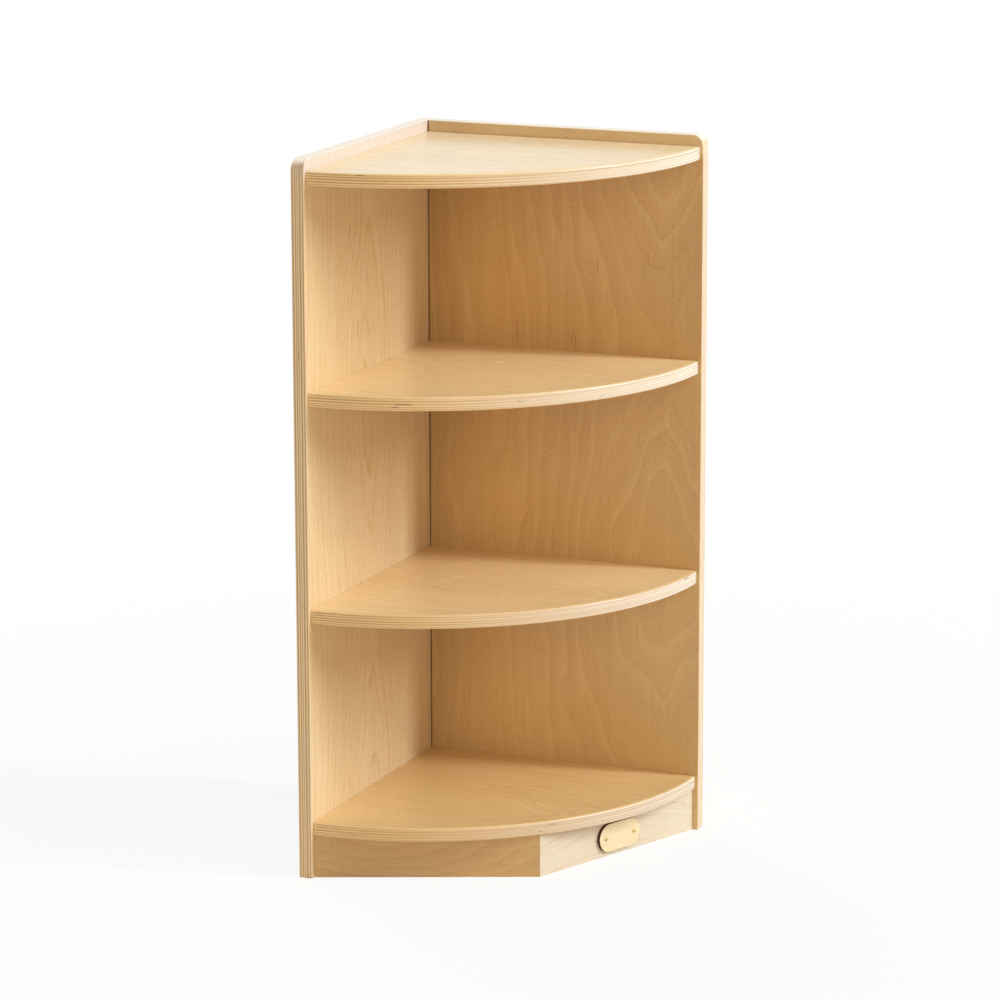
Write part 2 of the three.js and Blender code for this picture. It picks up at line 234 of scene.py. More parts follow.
class SolidPlywood:
    """Nodes that draw solid plywood: every ply has its own grain direction, so edges, rounded
    arrises and bores show the plies that they cut through."""

    def __init__(self):
        self.group = bpy.data.node_groups.new("solid_plywood", "ShaderNodeTree")
        interface = self.group.interface
        for kind, names in PLYWOOD_INPUTS.items():
            for name in names:
                interface.new_socket(name, in_out="INPUT", socket_type=kind)
        for name, kind in PLYWOOD_OUTPUTS.items():
            interface.new_socket(name, in_out="OUTPUT", socket_type=kind)

        self.g = Graph(self.group)
        self.given = self.g.add("NodeGroupInput").outputs
        local = self.g.vector("SUBTRACT", self.g.object_place(), self.given["Origin"])
        self.x = self.g.vector("DOT_PRODUCT", local, self.given["Grain"])
        self.y = self.g.vector("DOT_PRODUCT", local, self.given["Across"])
        self.z = self.g.vector("DOT_PRODUCT", local, self.given["Through"])
        self.find_ply()
        self.find_grain()
        self.find_edges()
        self.fibre = self.grain_noise(FIBRE_SCALE, detail=2.0, roughness=0.6)
        self.streak = self.grain_noise(STREAK_SCALE, detail=3.0, roughness=0.55)
        self.pores = self.g.span(self.grain_noise(PORE_SCALE), *PORE_LEVELS)
        self.voids = self.edge_voids()

        out = self.g.add("NodeGroupOutput").inputs
        self.g.put(out["Color"], self.color())
        self.g.put(out["Roughness"], self.roughness())
        self.g.put(out["Height"], self.height())

    def find_ply(self):
        """Which ply a point lies in. The inner plies differ a little in thickness and aren't
        flat, and the outer faces are."""
        g = self.g
        pairs = (PLY_COUNT - 1) / 2 + LONG_PLY_SHARE
        depth = g.math("DIVIDE", self.z, self.given["Thickness"])
        # 0 in the board's faces and 1 in its middle
        inside = g.math("MULTIPLY", g.math("MULTIPLY", depth, g.math("SUBTRACT", 1.0, depth)), 4.0)
        uneven_at = g.join(g.math("MULTIPLY", depth, PLY_UNEVEN_SCALE), self.given["Seed"], 0.0)
        uneven = g.math("SUBTRACT", g.noise(uneven_at, detail=1.0), 0.5)
        waver = g.noise(g.join(self.x, self.y, self.given["Seed"]), PLY_WAVER_SCALE, 1.0)
        waver = g.math("MULTIPLY", g.math("SUBTRACT", waver, 0.5), PLY_WAVER)
        warp = g.math("MULTIPLY_ADD", uneven, PLY_UNEVENNESS, waver)
        level = g.math("MULTIPLY_ADD", depth, pairs, g.math("MULTIPLY", warp, inside))
        level = g.math("MINIMUM", g.math("MAXIMUM", level, PLY_MARGIN), pairs - PLY_MARGIN)
        self.share = g.math("FRACT", level)
        self.crossed = g.math("GREATER_THAN", self.share, LONG_PLY_SHARE)
        self.ply = g.math("MULTIPLY_ADD", g.math("FLOOR", level), 2.0, self.crossed)

    def find_grain(self):
        """Coordinates along and across the grain of that ply, and a shift of its own."""
        g = self.g
        swap = g.math("MULTIPLY", self.crossed, g.math("SUBTRACT", self.y, self.x))
        self.along = g.math("ADD", self.x, swap)
        self.across = g.math("SUBTRACT", self.y, swap)
        self.shift = g.math("ADD", self.given["Seed"], g.math("MULTIPLY", self.ply, PLY_SHIFT))

    def find_edges(self):
        """Where the surface cuts across the plies, and where it cuts across their fibres."""
        g = self.g
        normal = g.surface_normal()
        facing_x = g.vector("DOT_PRODUCT", normal, self.given["Grain"])
        facing_y = g.vector("DOT_PRODUCT", normal, self.given["Across"])
        facing_z = g.math("ABSOLUTE", g.vector("DOT_PRODUCT", normal, self.given["Through"]))
        self.edge = g.span(facing_z, *EDGE_FACING, 1.0, 0.0)
        swapped = g.math("MULTIPLY", self.crossed, g.math("SUBTRACT", facing_y, facing_x))
        end = g.math("ABSOLUTE", g.math("ADD", facing_x, swapped))
        self.end = g.math("POWER", end, END_POWER)

    def shifted_along(self, scale):
        return self.g.math("MULTIPLY_ADD", self.along, scale, self.shift)

    def grain_noise(self, scale, detail=1.0, roughness=0.5):
        """Noise that is stretched along the grain of the ply."""
        g = self.g
        along_scale, across_scale = scale
        at = g.join(
            self.shifted_along(along_scale),
            g.math("MULTIPLY", self.across, across_scale),
            g.math("MULTIPLY", self.z, across_scale),
        )
        return g.noise(at, detail=detail, roughness=roughness)

    def heart_distance(self):
        """The distance from the board's heart line, which wanders. It never quite comes to
        zero, so the rings turn round it smoothly."""
        g = self.g
        wander = g.noise(g.join(self.shifted_along(HEART_WANDER_SCALE), 0.0, 0.0))
        aside = g.math("SUBTRACT", self.across, self.given["Heart"])
        aside = g.math("MULTIPLY_ADD", g.math("SUBTRACT", wander, 0.5), HEART_WANDER, aside)
        return g.math("SQRT", g.math("MULTIPLY_ADD", aside, aside, HEART_ROUNDNESS))

    def ring_count(self):
        """Year rings are counted away from the heart line, and are nested as long loops round
        eyes along it."""
        g, given = self.g, self.given
        spread = self.heart_distance()
        turn = g.math("SUBTRACT", self.along, given["Middle"])
        turn = g.math("MULTIPLY", turn, math.tau / EYE_SPACING)
        near = g.span(spread, *EYE_REACH, 1.0, EYE_LEAST)
        loops = g.math("MULTIPLY", g.math("COSINE", turn), g.math("MULTIPLY", given["Eyes"], near))
        ragged = g.math("MULTIPLY", g.math("SUBTRACT", self.streak, 0.5), RING_RAGGEDNESS)
        count = g.math("SUBTRACT", g.math("MULTIPLY_ADD", spread, given["Rings"], ragged), loops)
        along_scale, across_scale = RING_WOBBLE_SCALE
        wobble_at = g.join(self.shifted_along(along_scale),
                           g.math("MULTIPLY", self.across, across_scale), self.shift)
        return g.math("MULTIPLY_ADD", g.noise(wobble_at, detail=2.5), RING_WOBBLE, count)

    def ring_figure(self):
        """A ring ends in a thin dark line and starts with a pale band, and each has its own
        strength."""
        g, given = self.g, self.given
        count = self.ring_count()
        ring = g.math("FRACT", count)
        line = g.math("MULTIPLY", g.span(ring, RING_LINE_START, RING_LINE_PEAK),
                      g.span(ring, RING_LINE_PEAK, 1.0, 1.0, 0.0))
        band = g.math("MULTIPLY", g.span(ring, 0.0, RING_BAND_PEAK),
                      g.span(ring, RING_BAND_PEAK, RING_BAND_END, 1.0, 0.0))
        figure = g.math("SUBTRACT", g.math("MULTIPLY", line, given["Lines"]),
                        g.math("MULTIPLY", band, given["Bands"]))
        strength = g.span(g.random(g.math("FLOOR", count)), 0.0, 1.0, RING_LEAST, 1.0)
        return g.math("MULTIPLY", figure, strength)

    def bark_ticks(self):
        """Short dark flecks of bark, in groups."""
        ticks = self.g.span(self.grain_noise(TICK_SCALE), *TICK_LEVELS)
        groups = self.g.span(self.grain_noise(TICK_GROUP_SCALE), *TICK_GROUP_LEVELS)
        return self.g.math("MULTIPLY", ticks, groups)

    def pin_knots(self):
        """Small round knots, in a few of the cells of a Voronoi pattern."""
        g = self.g
        at = g.join(g.math("ADD", self.along, self.shift), self.across, self.shift)
        cells = g.add("ShaderNodeTexVoronoi", {"Vector": at, "Scale": KNOT_SCALE},
                      voronoi_dimensions="3D").outputs
        chance = g.add("ShaderNodeSeparateColor", {0: cells["Color"]}).outputs[0]
        return g.math("MULTIPLY", g.span(cells["Distance"], *KNOT_RADII, 1.0, 0.0),
                      g.span(chance, *KNOT_CHOICE))

    def glue_lines(self):
        """Thin lines at the edges, where two plies meet."""
        g = self.g
        to_middle = g.math("ABSOLUTE", g.math("SUBTRACT", self.share, LONG_PLY_SHARE))
        to_end = g.math("SUBTRACT", 0.5, g.math("ABSOLUTE", g.math("SUBTRACT", self.share, 0.5)))
        away = g.math("MINIMUM", to_middle, to_end)
        return g.math("MULTIPLY", g.span(away, *GLUE_WIDTH, 1.0, 0.0), self.edge)

    def edge_voids(self):
        """Gaps in the crossed plies, which show at the edges."""
        g = self.g
        at = g.join(g.math("MULTIPLY", self.x, VOID_SCALE), g.math("MULTIPLY", self.y, VOID_SCALE),
                    self.shift)
        return g.math("MULTIPLY", g.span(g.noise(at), *VOID_LEVELS),
                      g.math("MULTIPLY", self.crossed, self.edge))

    def tone(self):
        """0 where the wood is palest and 1 where it is deepest."""
        g = self.g
        tone = TONE_START
        for noise, reach in (
            (self.grain_noise(CLOUD_SCALE, detail=2.0), CLOUD_TONE),
            (self.streak, STREAK_TONE),
            (self.fibre, FIBRE_TONE),
            (self.grain_noise(FLECK_SCALE), FLECK_TONE),
            # Painted shade: deeper further along the board, which on the panels is upwards
            (g.span(self.x, *SHADE_DRIFT_REACH, -0.5, 0.5), self.given["ShadeDrift"]),
        ):
            tone = g.math("MULTIPLY_ADD", noise, reach, tone)
        on_face = g.math("SUBTRACT", 1.0, self.edge)
        return g.math("MULTIPLY_ADD", self.ring_figure(), on_face, tone, clamp=True)

    def color(self):
        g, given = self.g, self.given
        color = g.mix(self.tone(), given["Pale"], given["Deep"])
        color = g.mix(g.math("MULTIPLY", self.edge, EDGE_SHARE), color, given["Edge"])
        own = g.random(g.math("ADD", self.ply, given["Seed"]))
        end_share = g.math("MULTIPLY", self.end, g.span(own, 0.0, 1.0, END_LEAST, 1.0))
        color = g.mix(end_share, color, given["End"])
        for mark, stain_and_shade in (
            (self.glue_lines(), GLUE_STAIN),
            (self.pores, PORE_STAIN),
            (self.bark_ticks(), TICK_STAIN),
            (self.pin_knots(), KNOT_STAIN),
            (self.voids, VOID_STAIN),
        ):
            color = g.mix(g.math("MULTIPLY", mark, stain_and_shade), color, MARK_COLOR)
        return color

    def roughness(self):
        rough = self.g.math("MULTIPLY_ADD", self.fibre, FIBRE_ROUGHNESS, ROUGHNESS)
        return self.g.math("MULTIPLY_ADD", self.edge, EDGE_ROUGHNESS, rough)

    def height(self):
        """The relief of the surface: fibres stand up, and pores, voids and crossed plies are
        sunk."""
        g = self.g
        fibres = g.math("MULTIPLY", self.fibre, FIBRE_HEIGHT)
        raised = g.math("MULTIPLY_ADD", self.streak, STREAK_HEIGHT, fibres)
        sunk = g.math("ADD", self.pores, g.math("MULTIPLY", self.voids, VOID_DEPTH))
        crossed = g.math("MULTIPLY", self.crossed, g.math("MULTIPLY", self.edge, CROSSED_PLY_DEPTH))
        return g.math("SUBTRACT", g.math("SUBTRACT", raised, sunk), crossed)


PLYWOOD = SolidPlywood().group


def plywood(name, grain, through, origin, thickness, seed, tones, figure, painted_light=None):
    """The material of one board, whose face grain and thickness lie along two directions. Painted
    light is a function that paints light and shade into its colour."""
    pale, deep, edge = tones
    material, g, surface = new_material(name)
    wood = g.add("ShaderNodeGroup")
    wood.node_tree = PLYWOOD
    across = through.cross(grain)
    values = {"Grain": grain, "Across": across, "Through": through, "Origin": origin,
              "Thickness": thickness, "Seed": seed, "Pale": linear(*pale), "Deep": linear(*deep),
              "Edge": linear(*edge), "End": END_COLOR, **figure}
    for key, value in values.items():
        wood.inputs[key].default_value = value
    color = wood.outputs["Color"]
    if painted_light:
        color = painted_light(g, color)
    g.put(surface.inputs["Base Color"], color)
    g.put(surface.inputs["Roughness"], wood.outputs["Roughness"])
    g.put(surface.inputs["Normal"], g.bump(wood.outputs["Height"], LACQUERED_RELIEF))
    surface.inputs["IOR"].default_value = LACQUER_IOR
    return material


# Raw solid wood and plated metal

# The scales are per metre, apart from the cloud's, which is a share of the fibres' own
RAW_SCALE_ALONG = 40
RAW_SCALE_ACROSS = 420
RAW_CLOUD_SCALE = 0.12
RAW_FIBRE_TONE = 0.5
RAW_CLOUD_TONE = 0.5
RAW_ROUGHNESS = 0.6
RAW_FIBRE_ROUGHNESS = 0.2
RAW_RELIEF = {"Strength": 0.4, "Distance": 0.0002}

METAL_MOTTLE_SCALE = 900.0
METAL_MOTTLE_DARKEST = 0.8
METAL_MOTTLE_ROUGHNESS = 0.2


def plain_wood(name, grain, pale, deep, seed):
    """Raw solid wood, such as pine or beech, with fine fibres and broad clouds along its grain."""
    material, g, surface = new_material(name)
    stretch = Vector((1, 1, 1)) * RAW_SCALE_ACROSS - grain * (RAW_SCALE_ACROSS - RAW_SCALE_ALONG)
    shifted = g.vector("ADD", g.object_place(), Vector((seed, seed, seed)))
    at = g.vector("MULTIPLY", shifted, stretch)
    fibre = g.noise(at, detail=3.0)
    cloud = g.noise(at, RAW_CLOUD_SCALE)
    cloud = g.math("MULTIPLY", cloud, RAW_CLOUD_TONE)
    tone = g.math("MULTIPLY_ADD", fibre, RAW_FIBRE_TONE, cloud, clamp=True)
    rough = g.math("MULTIPLY_ADD", fibre, RAW_FIBRE_ROUGHNESS, RAW_ROUGHNESS)
    g.put(surface.inputs["Base Color"], g.mix(tone, pale, deep))
    g.put(surface.inputs["Roughness"], rough)
    g.put(surface.inputs["Normal"], g.bump(fibre, RAW_RELIEF))
    return material


def plated_metal(name, color, roughness):
    """Bright metal with a slightly uneven surface."""
    material, g, surface = new_material(name)
    mottle = g.noise(g.object_place(), METAL_MOTTLE_SCALE, 3.0)
    darker = tuple(METAL_MOTTLE_DARKEST * channel for channel in color[:3]) + (1.0,)
    rough = g.math("MULTIPLY_ADD", mottle, METAL_MOTTLE_ROUGHNESS, roughness)
    g.put(surface.inputs["Base Color"], g.mix(mottle, color, darker))
    g.put(surface.inputs["Roughness"], rough)
    surface.inputs["Metallic"].default_value = 1.0
    return material


# Places on the CAD model

left_low, left_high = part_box("left_panel")
right_low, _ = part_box("right_panel")
top_low, top_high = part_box("top_shelf")
board_thickness = left_high.x - left_low.x
inner_corner = Vector((left_high.x, right_low.y, 0))


def farthest(node, direction):
    """The corner of a CAD node that lies farthest along a direction."""
    return max((v.co.copy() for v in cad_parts[node].data.vertices), key=direction.dot)


# A kick board's face is the chord of half the shelf's quarter arc, so the left one lies a
# sixteenth of a turn off X, and the right one off Y
KICK_TURN = math.tau / 16
kick_grain = {
    "left": Vector((math.cos(KICK_TURN), math.sin(KICK_TURN), 0)),
    "right": Vector((math.sin(KICK_TURN), math.cos(KICK_TURN), 0)),
}
kick_inward = {
    "left": Vector((-math.sin(KICK_TURN), math.cos(KICK_TURN), 0)),
    "right": Vector((-math.cos(KICK_TURN), math.sin(KICK_TURN), 0)),
}


# Painted light and shade

# A painted shade or painted highlight is how far the colour changes at its strongest. The
# crease's painted shade goes from full to none within its reach. A shelf's shape of painted
# shade says how much X, Y and Z count in the distance from the inner corner.
CREASE_REACH = (0.0007, 0.00112)
CREASE_SHADE = 0.85
PANEL_SHADE_REACH = 0.09
LEFT_PANEL_SHADE = 0.0
RIGHT_PANEL_SHADE = 0.18
SHELF_SHADE = 0.28
TOP_SHELF_SHADE = 0.14
SHELF_SHADE_REACH = 0.13
SHELF_SHADE_SHAPE = (0.35, 1.0, 0.0)
RIM_HIGHLIGHT = 0.5
TOP_HIGHLIGHT = 0.7

# How squarely a surface faces inwards, upwards and along +X, from not at all to fully
INNER_FACING = (-0.2, 0.3)
UPPER_FACING = (0.3, 0.8)
LIT_FACING = (0.25, 1.0)

# Colours of painted shade for the crease and the shelves' corners, and of painted highlight for the
# panels' rims and upward faces
CREASE_SHADE_COLOR = linear(70, 34, 8)
SHELF_SHADE_COLOR = linear(150, 84, 20)
LEFT_RIM_HIGHLIGHT_COLOR = linear(222, 216, 224)
RIGHT_RIM_HIGHLIGHT_COLOR = linear(255, 229, 185)
TOP_HIGHLIGHT_COLOR = linear(255, 246, 230)

# Tints that a shelf's edge is multiplied by: painted shade where it faces -Y and painted light where it
# faces +X
EDGE_SHADE_TINT = (1.0, 0.87, 0.68, 1.0)
EDGE_LIGHT_TINT = (0.95, 1.04, 1.40, 1.0)


def panel_painted_light(inward, painted_shade, rim_highlight_color):
    """Paints shade and light into a panel's colour: painted shade darkens its inner face in the
    corner and along the crease, and painted highlight makes it paler on the rim above the top
    shelf and on its upward faces."""
    def paint_light_and_shade(g, color):
        place = g.object_place()
        normal = g.surface_normal()
        inner = g.span(g.vector("DOT_PRODUCT", normal, inward), *INNER_FACING)
        height = g.vector("DOT_PRODUCT", place, Z)
        # Painted highlight: the inner face is paler above the top shelf
        rim = g.math("MULTIPLY", g.span(height, top_low.z, top_high.z, 0.0, RIM_HIGHLIGHT), inner)
        color = g.mix(rim, color, rim_highlight_color)
        # Painted highlight: faces that look up are paler
        upper = g.span(g.vector("DOT_PRODUCT", normal, Z), *UPPER_FACING, 0.0, TOP_HIGHLIGHT)
        color = g.mix(upper, color, TOP_HIGHLIGHT_COLOR)
        away = g.vector("SUBTRACT", g.vector("MULTIPLY", place, X + Y), inner_corner)
        away = g.vector("LENGTH", away)
        # Painted shade on the inner face, strongest at the inner corner and gone within its reach
        shade_share = g.math("MULTIPLY", g.span(away, 0.0, PANEL_SHADE_REACH, painted_shade, 0.0), inner)
        # Painted shade: a dark line along the crease where the two panels meet
        stain_and_shade = g.span(away, *CREASE_REACH, CREASE_SHADE, 0.0)
        return g.mix(g.math("MAXIMUM", stain_and_shade, shade_share), color, CREASE_SHADE_COLOR)
    return paint_light_and_shade


def shelf_painted_light(painted_shade):
    """Painted shade darkens a shelf's top in the corner and along the right panel's foot. Its
    edge is painted paler and cooler as painted light where that faces +X, and browner as
    painted shade where it faces -Y."""
    def paint_light_and_shade(g, color):
        place = g.object_place()
        normal = g.surface_normal()
        upper = g.vector("DOT_PRODUCT", normal, Z)
        # Painted shade on the top, in the inner corner and along the right panel's foot
        away = g.vector("MULTIPLY", g.vector("SUBTRACT", place, inner_corner), SHELF_SHADE_SHAPE)
        away = g.vector("LENGTH", away)
        shade_share = g.span(away, 0.0, SHELF_SHADE_REACH, painted_shade, 0.0)
        shade_share = g.math("MULTIPLY", shade_share, g.span(upper, *UPPER_FACING))
        color = g.mix(shade_share, color, SHELF_SHADE_COLOR)
        # Painted light on the edge where it faces +X, and painted shade where it faces -Y
        lit_side = g.span(g.vector("DOT_PRODUCT", normal, X), *LIT_FACING)
        tint = g.mix(lit_side, EDGE_SHADE_TINT, EDGE_LIGHT_TINT)
        edge = g.span(g.math("ABSOLUTE", upper), *EDGE_FACING, 1.0, 0.0)
        return g.mix(edge, color, g.vector("MULTIPLY", color, tint))
    return paint_light_and_shade


# Tones and figures of the boards

# A board's tones are the sRGB colours of its palest and deepest wood and of its edges. Between
# boards they differ partly as painted light and painted shade.
LEFT_PANEL_TONES = ((233, 209, 171), (203, 165, 115), (255, 228, 188))
# The right panel's tones are painted deeper and browner than the left panel's, as painted shade
RIGHT_PANEL_TONES = ((219, 185, 130), (188, 144, 87), (240, 222, 200))
SHELF_EDGE = (254, 239, 203)
# The shelves' tones grow paler from the bottom shelf to the top one: painted shade on the lower shelves
# and painted light on the top one
SHELF_TONES = {
    "bottom_shelf": ((241, 209, 156), (209, 166, 106), SHELF_EDGE),
    "lower_shelf": ((249, 223, 177), (221, 177, 120), SHELF_EDGE),
    "upper_shelf": ((253, 229, 184), (225, 183, 126), SHELF_EDGE),
    "top_shelf": ((255, 234, 195), (233, 196, 142), SHELF_EDGE),
}
# The right kick board's tones are painted paler and greyer as painted light, and the left one's deeper
# as painted shade
KICK_TONES = {
    "left": ((216, 180, 125), (187, 141, 85), SHELF_EDGE),
    "right": ((226, 215, 197), (201, 175, 145), SHELF_EDGE),
}

# A figure is the place of the heart line and of an eye on it in metres, the rings per metre,
# and the strengths of the eyes' loops, of the lines, of the bands and of the drift of tone,
# which is painted shade
LEFT_PANEL_FIGURE = {"Heart": -0.155, "Middle": 0.47, "Rings": 120.0, "Eyes": 1.6, "Lines": 0.36,
                     "Bands": 0.12, "ShadeDrift": 0.15}
RIGHT_PANEL_FIGURE = {"Heart": 0.275, "Middle": 0.29, "Rings": 48.0, "Eyes": 2.0, "Lines": 0.1,
                      "Bands": 0.2, "ShadeDrift": 0.34}
SHELF_FIGURE = {"Rings": 75.0, "Eyes": 2.5, "Lines": 0.15, "Bands": 0.18}
SHELF_HEART = 0.12
SHELF_HEART_STEP = 0.05
SHELF_MIDDLE = 0.1
SHELF_MIDDLE_STEP = 0.07
KICK_FIGURE = {"Heart": 0.03, "Middle": 0.1, "Rings": 90.0, "Eyes": 2.0, "Lines": 0.2, "Bands": 0.15}

# Seeds of the noise, and the steps between boards of a kind
LEFT_PANEL_SEED = 3.1
RIGHT_PANEL_SEED = 11.7
SHELF_SEED = 21.3
SHELF_SEED_STEP = 5.7
KICK_SEED = 51.9
KICK_SEED_STEP = 8.3
PINE_SEED = 0.7
BEECH_SEED = 0.3

PINE_PALE = linear(236, 205, 150)
PINE_DEEP = linear(205, 160, 100)
BEECH_PALE = linear(214, 170, 126)
BEECH_DEEP = linear(180, 130, 88)

WELD_DISTANCE = 1e-6


# Boards, glue block and dowels: the CAD solids, with smooth arrises and arcs

def dress(node, material):
    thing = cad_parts[node]
    thing.data.materials.clear()
    thing.data.materials.append(material)
    for polygon in thing.data.polygons:
        polygon.use_smooth = True
    weld = thing.modifiers.new("weld", "WELD")
    weld.merge_threshold = WELD_DISTANCE
    split = thing.modifiers.new("split", "EDGE_SPLIT")
    split.split_angle = SHARP_ANGLE
    weighted = thing.modifiers.new("weighted", "WEIGHTED_NORMAL")
    weighted.keep_sharp = True


def dress_panels():
    dress("left_panel", plywood(
        "birch_left_panel", grain=Z, through=X, origin=left_low, thickness=board_thickness,
        seed=LEFT_PANEL_SEED, tones=LEFT_PANEL_TONES, figure=LEFT_PANEL_FIGURE,
        painted_light=panel_painted_light(X, LEFT_PANEL_SHADE, LEFT_RIM_HIGHLIGHT_COLOR)))
    dress("right_panel", plywood(
        "birch_right_panel", grain=Z, through=Y, origin=right_low, thickness=board_thickness,
        seed=RIGHT_PANEL_SEED, tones=RIGHT_PANEL_TONES, figure=RIGHT_PANEL_FIGURE,
        painted_light=panel_painted_light(-Y, RIGHT_PANEL_SHADE, RIGHT_RIM_HIGHLIGHT_COLOR)))


def dress_shelves():
    for i, (shelf, tones) in enumerate(SHELF_TONES.items()):
        low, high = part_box(shelf)
        figure = {**SHELF_FIGURE, "Heart": SHELF_HEART + SHELF_HEART_STEP * i,
                  "Middle": SHELF_MIDDLE + SHELF_MIDDLE_STEP * i}
        painted_shade = TOP_SHELF_SHADE if shelf == "top_shelf" else SHELF_SHADE
        dress(shelf, plywood(
            "birch_" + shelf, grain=X, through=Z, origin=low, thickness=high.z - low.z,
            seed=SHELF_SEED + SHELF_SEED_STEP * i, tones=tones, figure=figure,
            painted_light=shelf_painted_light(painted_shade)))


def dress_kick_boards():
    for i, (side, tones) in enumerate(KICK_TONES.items()):
        node = side + "_kick_board"
        dress(node, plywood(
            "birch_" + node, grain=kick_grain[side], through=kick_inward[side],
            origin=farthest(node, -kick_inward[side]), thickness=board_thickness,
            seed=KICK_SEED + KICK_SEED_STEP * i, tones=tones, figure=KICK_FIGURE))


def dress_glue_block():
    dress("kick_glue_block", plain_wood("pine", Z, PINE_PALE, PINE_DEEP, PINE_SEED))


def dress_dowels():
    """Each dowel takes the beech whose grain runs along its longest side."""
    beech = [plain_wood("beech_" + name, axis, BEECH_PALE, BEECH_DEEP, BEECH_SEED)
             for name, axis in (("x", X), ("y", Y), ("z", Z))]
    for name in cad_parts:
        if "dowel" in name:
            low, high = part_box(name)
            size = high - low
            longest = max(range(3), key=lambda i: size[i])
            dress(name, beech[longest])


dress_panels()
dress_shelves()
dress_kick_boards()
dress_glue_block()
dress_dowels()


# New pieces, made from rings of points

def finished(name, mesh_maker, material):
    """A new object from a bmesh, smooth shaded, with its material."""
    mesh = bpy.data.meshes.new(name)
    bm = bmesh.new()
    mesh_maker(bm)
    bmesh.ops.recalc_face_normals(bm, faces=bm.faces)
    bm.to_mesh(mesh)
    bm.free()
    mesh.materials.append(material)
    mesh.polygons.foreach_set("use_smooth", [True] * len(mesh.polygons))
    mesh.set_sharp_from_angle(angle=SHARP_ANGLE)
    thing = bpy.data.objects.new(name, mesh)
    bpy.context.scene.collection.objects.link(thing)
    return thing


def close_rings(bm, rings):
    """A closed skin over rings with equal counts of points, flat at the first and the last."""
    bm.faces.new(rings[0])
    for first, second in zip(rings, rings[1:]):
        count = len(first)
        for i in range(count):
            after = (i + 1) % count
            bm.faces.new((first[i], first[after], second[after], second[i]))
    bm.faces.new(rings[-1])


def circle(bm, radius, height, steps):
    turns = [math.tau * i / steps for i in range(steps)]
    return [bm.verts.new((radius * math.cos(turn), radius * math.sin(turn), height)) for turn in turns]


def hexagon(bm, across_flats, height, steps):
    """A hexagon with as many points as a circle, so that the two join in a ring."""
    points = []
    for i in range(steps):
        turn = math.tau * i / steps
        off_flat = (turn + math.pi / 6) % (math.pi / 3) - math.pi / 6
        radius = across_flats / 2 / math.cos(off_flat)
        points.append(bm.verts.new((radius * math.cos(turn), radius * math.sin(turn), height)))
    return points


# Connecting screws

# The head, the neck, the core and the thread are given by their radii
SCREW_STEPS = 48
SCREW_LENGTH = 0.050
SCREW_HEAD = 0.005
SCREW_RIM = 0.0008
SCREW_HEAD_HEIGHT = 0.003
SCREW_NECK = 0.0035
SCREW_NECK_LENGTH = 0.012
SCREW_CORE = 0.0025
SCREW_THREAD = 0.00335
SCREW_PITCH = 0.003
SCREW_TIP_LENGTH = 0.006
SCREW_TIP_SHARE = 0.25
THREAD_STEEPNESS = 6
THREAD_RINGS_PER_TURN = 8
SOCKET_ACROSS = 0.004
SOCKET_DEPTH = 0.0024
SOCKET_CHAMFER = 0.0003
HEAD_ARRIS = 0.0002
ZINC_COLOR = linear(196, 198, 202)
ZINC_ROUGHNESS = 0.28


def thread_ring(bm, height):
    """One ring of the thread, whose ridge winds round a core that narrows at the tip."""
    taper = min(1.0, (SCREW_LENGTH - height) / SCREW_TIP_LENGTH + SCREW_TIP_SHARE)
    ring = []
    for i in range(SCREW_STEPS):
        turn = math.tau * i / SCREW_STEPS
        phase = (height / SCREW_PITCH - i / SCREW_STEPS) % 1.0
        ridge = max(0.0, 1 - abs(phase - 0.5) * THREAD_STEEPNESS)
        radius = (SCREW_CORE + (SCREW_THREAD - SCREW_CORE) * ridge) * taper
        ring.append(bm.verts.new((radius * math.cos(turn), radius * math.sin(turn), height)))
    return ring


def connecting_screw(bm):
    """Drawn along +Z from the top of its head, with a socket, a countersink and a thread."""
    rings = [hexagon(bm, SOCKET_ACROSS, SOCKET_DEPTH, SCREW_STEPS),
             hexagon(bm, SOCKET_ACROSS, SOCKET_CHAMFER, SCREW_STEPS)]
    for radius, height in (
        (SOCKET_ACROSS / math.sqrt(3) + SOCKET_CHAMFER, 0),
        (SCREW_HEAD - HEAD_ARRIS, 0),
        (SCREW_HEAD, HEAD_ARRIS),
        (SCREW_HEAD, SCREW_RIM),
        (SCREW_NECK, SCREW_HEAD_HEIGHT),
        (SCREW_NECK, SCREW_NECK_LENGTH),
    ):
        rings.append(circle(bm, radius, height, SCREW_STEPS))
    count = int((SCREW_LENGTH - SCREW_NECK_LENGTH) / SCREW_PITCH * THREAD_RINGS_PER_TURN)
    for k in range(1, count + 1):
        rings.append(thread_ring(bm, SCREW_NECK_LENGTH + k * SCREW_PITCH / THREAD_RINGS_PER_TURN))
    close_rings(bm, rings)


def screw_start(name):
    """The middle of a CAD screw's head, in the panel's outer face, and the way it points."""
    low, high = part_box(name)
    size = high - low
    middle = (low + high) / 2
    if size.x > size.y:
        return Vector((low.x, middle.y, middle.z)), X
    return Vector((middle.x, high.y, middle.z)), -Y


def place_screws():
    """The screws share one mesh, and each stands in for its CAD node."""
    zinc = plated_metal("zinc_steel", ZINC_COLOR, ZINC_ROUGHNESS)
    template = None
    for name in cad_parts:
        if "screw" not in name:
            continue
        if template is None:
            piece = finished(name + "_fine", connecting_screw, zinc)
            template = piece
        else:
            piece = bpy.data.objects.new(name + "_fine", template.data)
            bpy.context.scene.collection.objects.link(piece)
        start, direction = screw_start(name)
        turned = Z.rotation_difference(direction).to_matrix().to_4x4()
        piece.matrix_world = Matrix.Translation(start) @ turned
        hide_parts(name)
        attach(piece, "root")


place_screws()


# Tag: a plain oval plate of thin plywood with scorched, laser-cut edges, held by two small screws

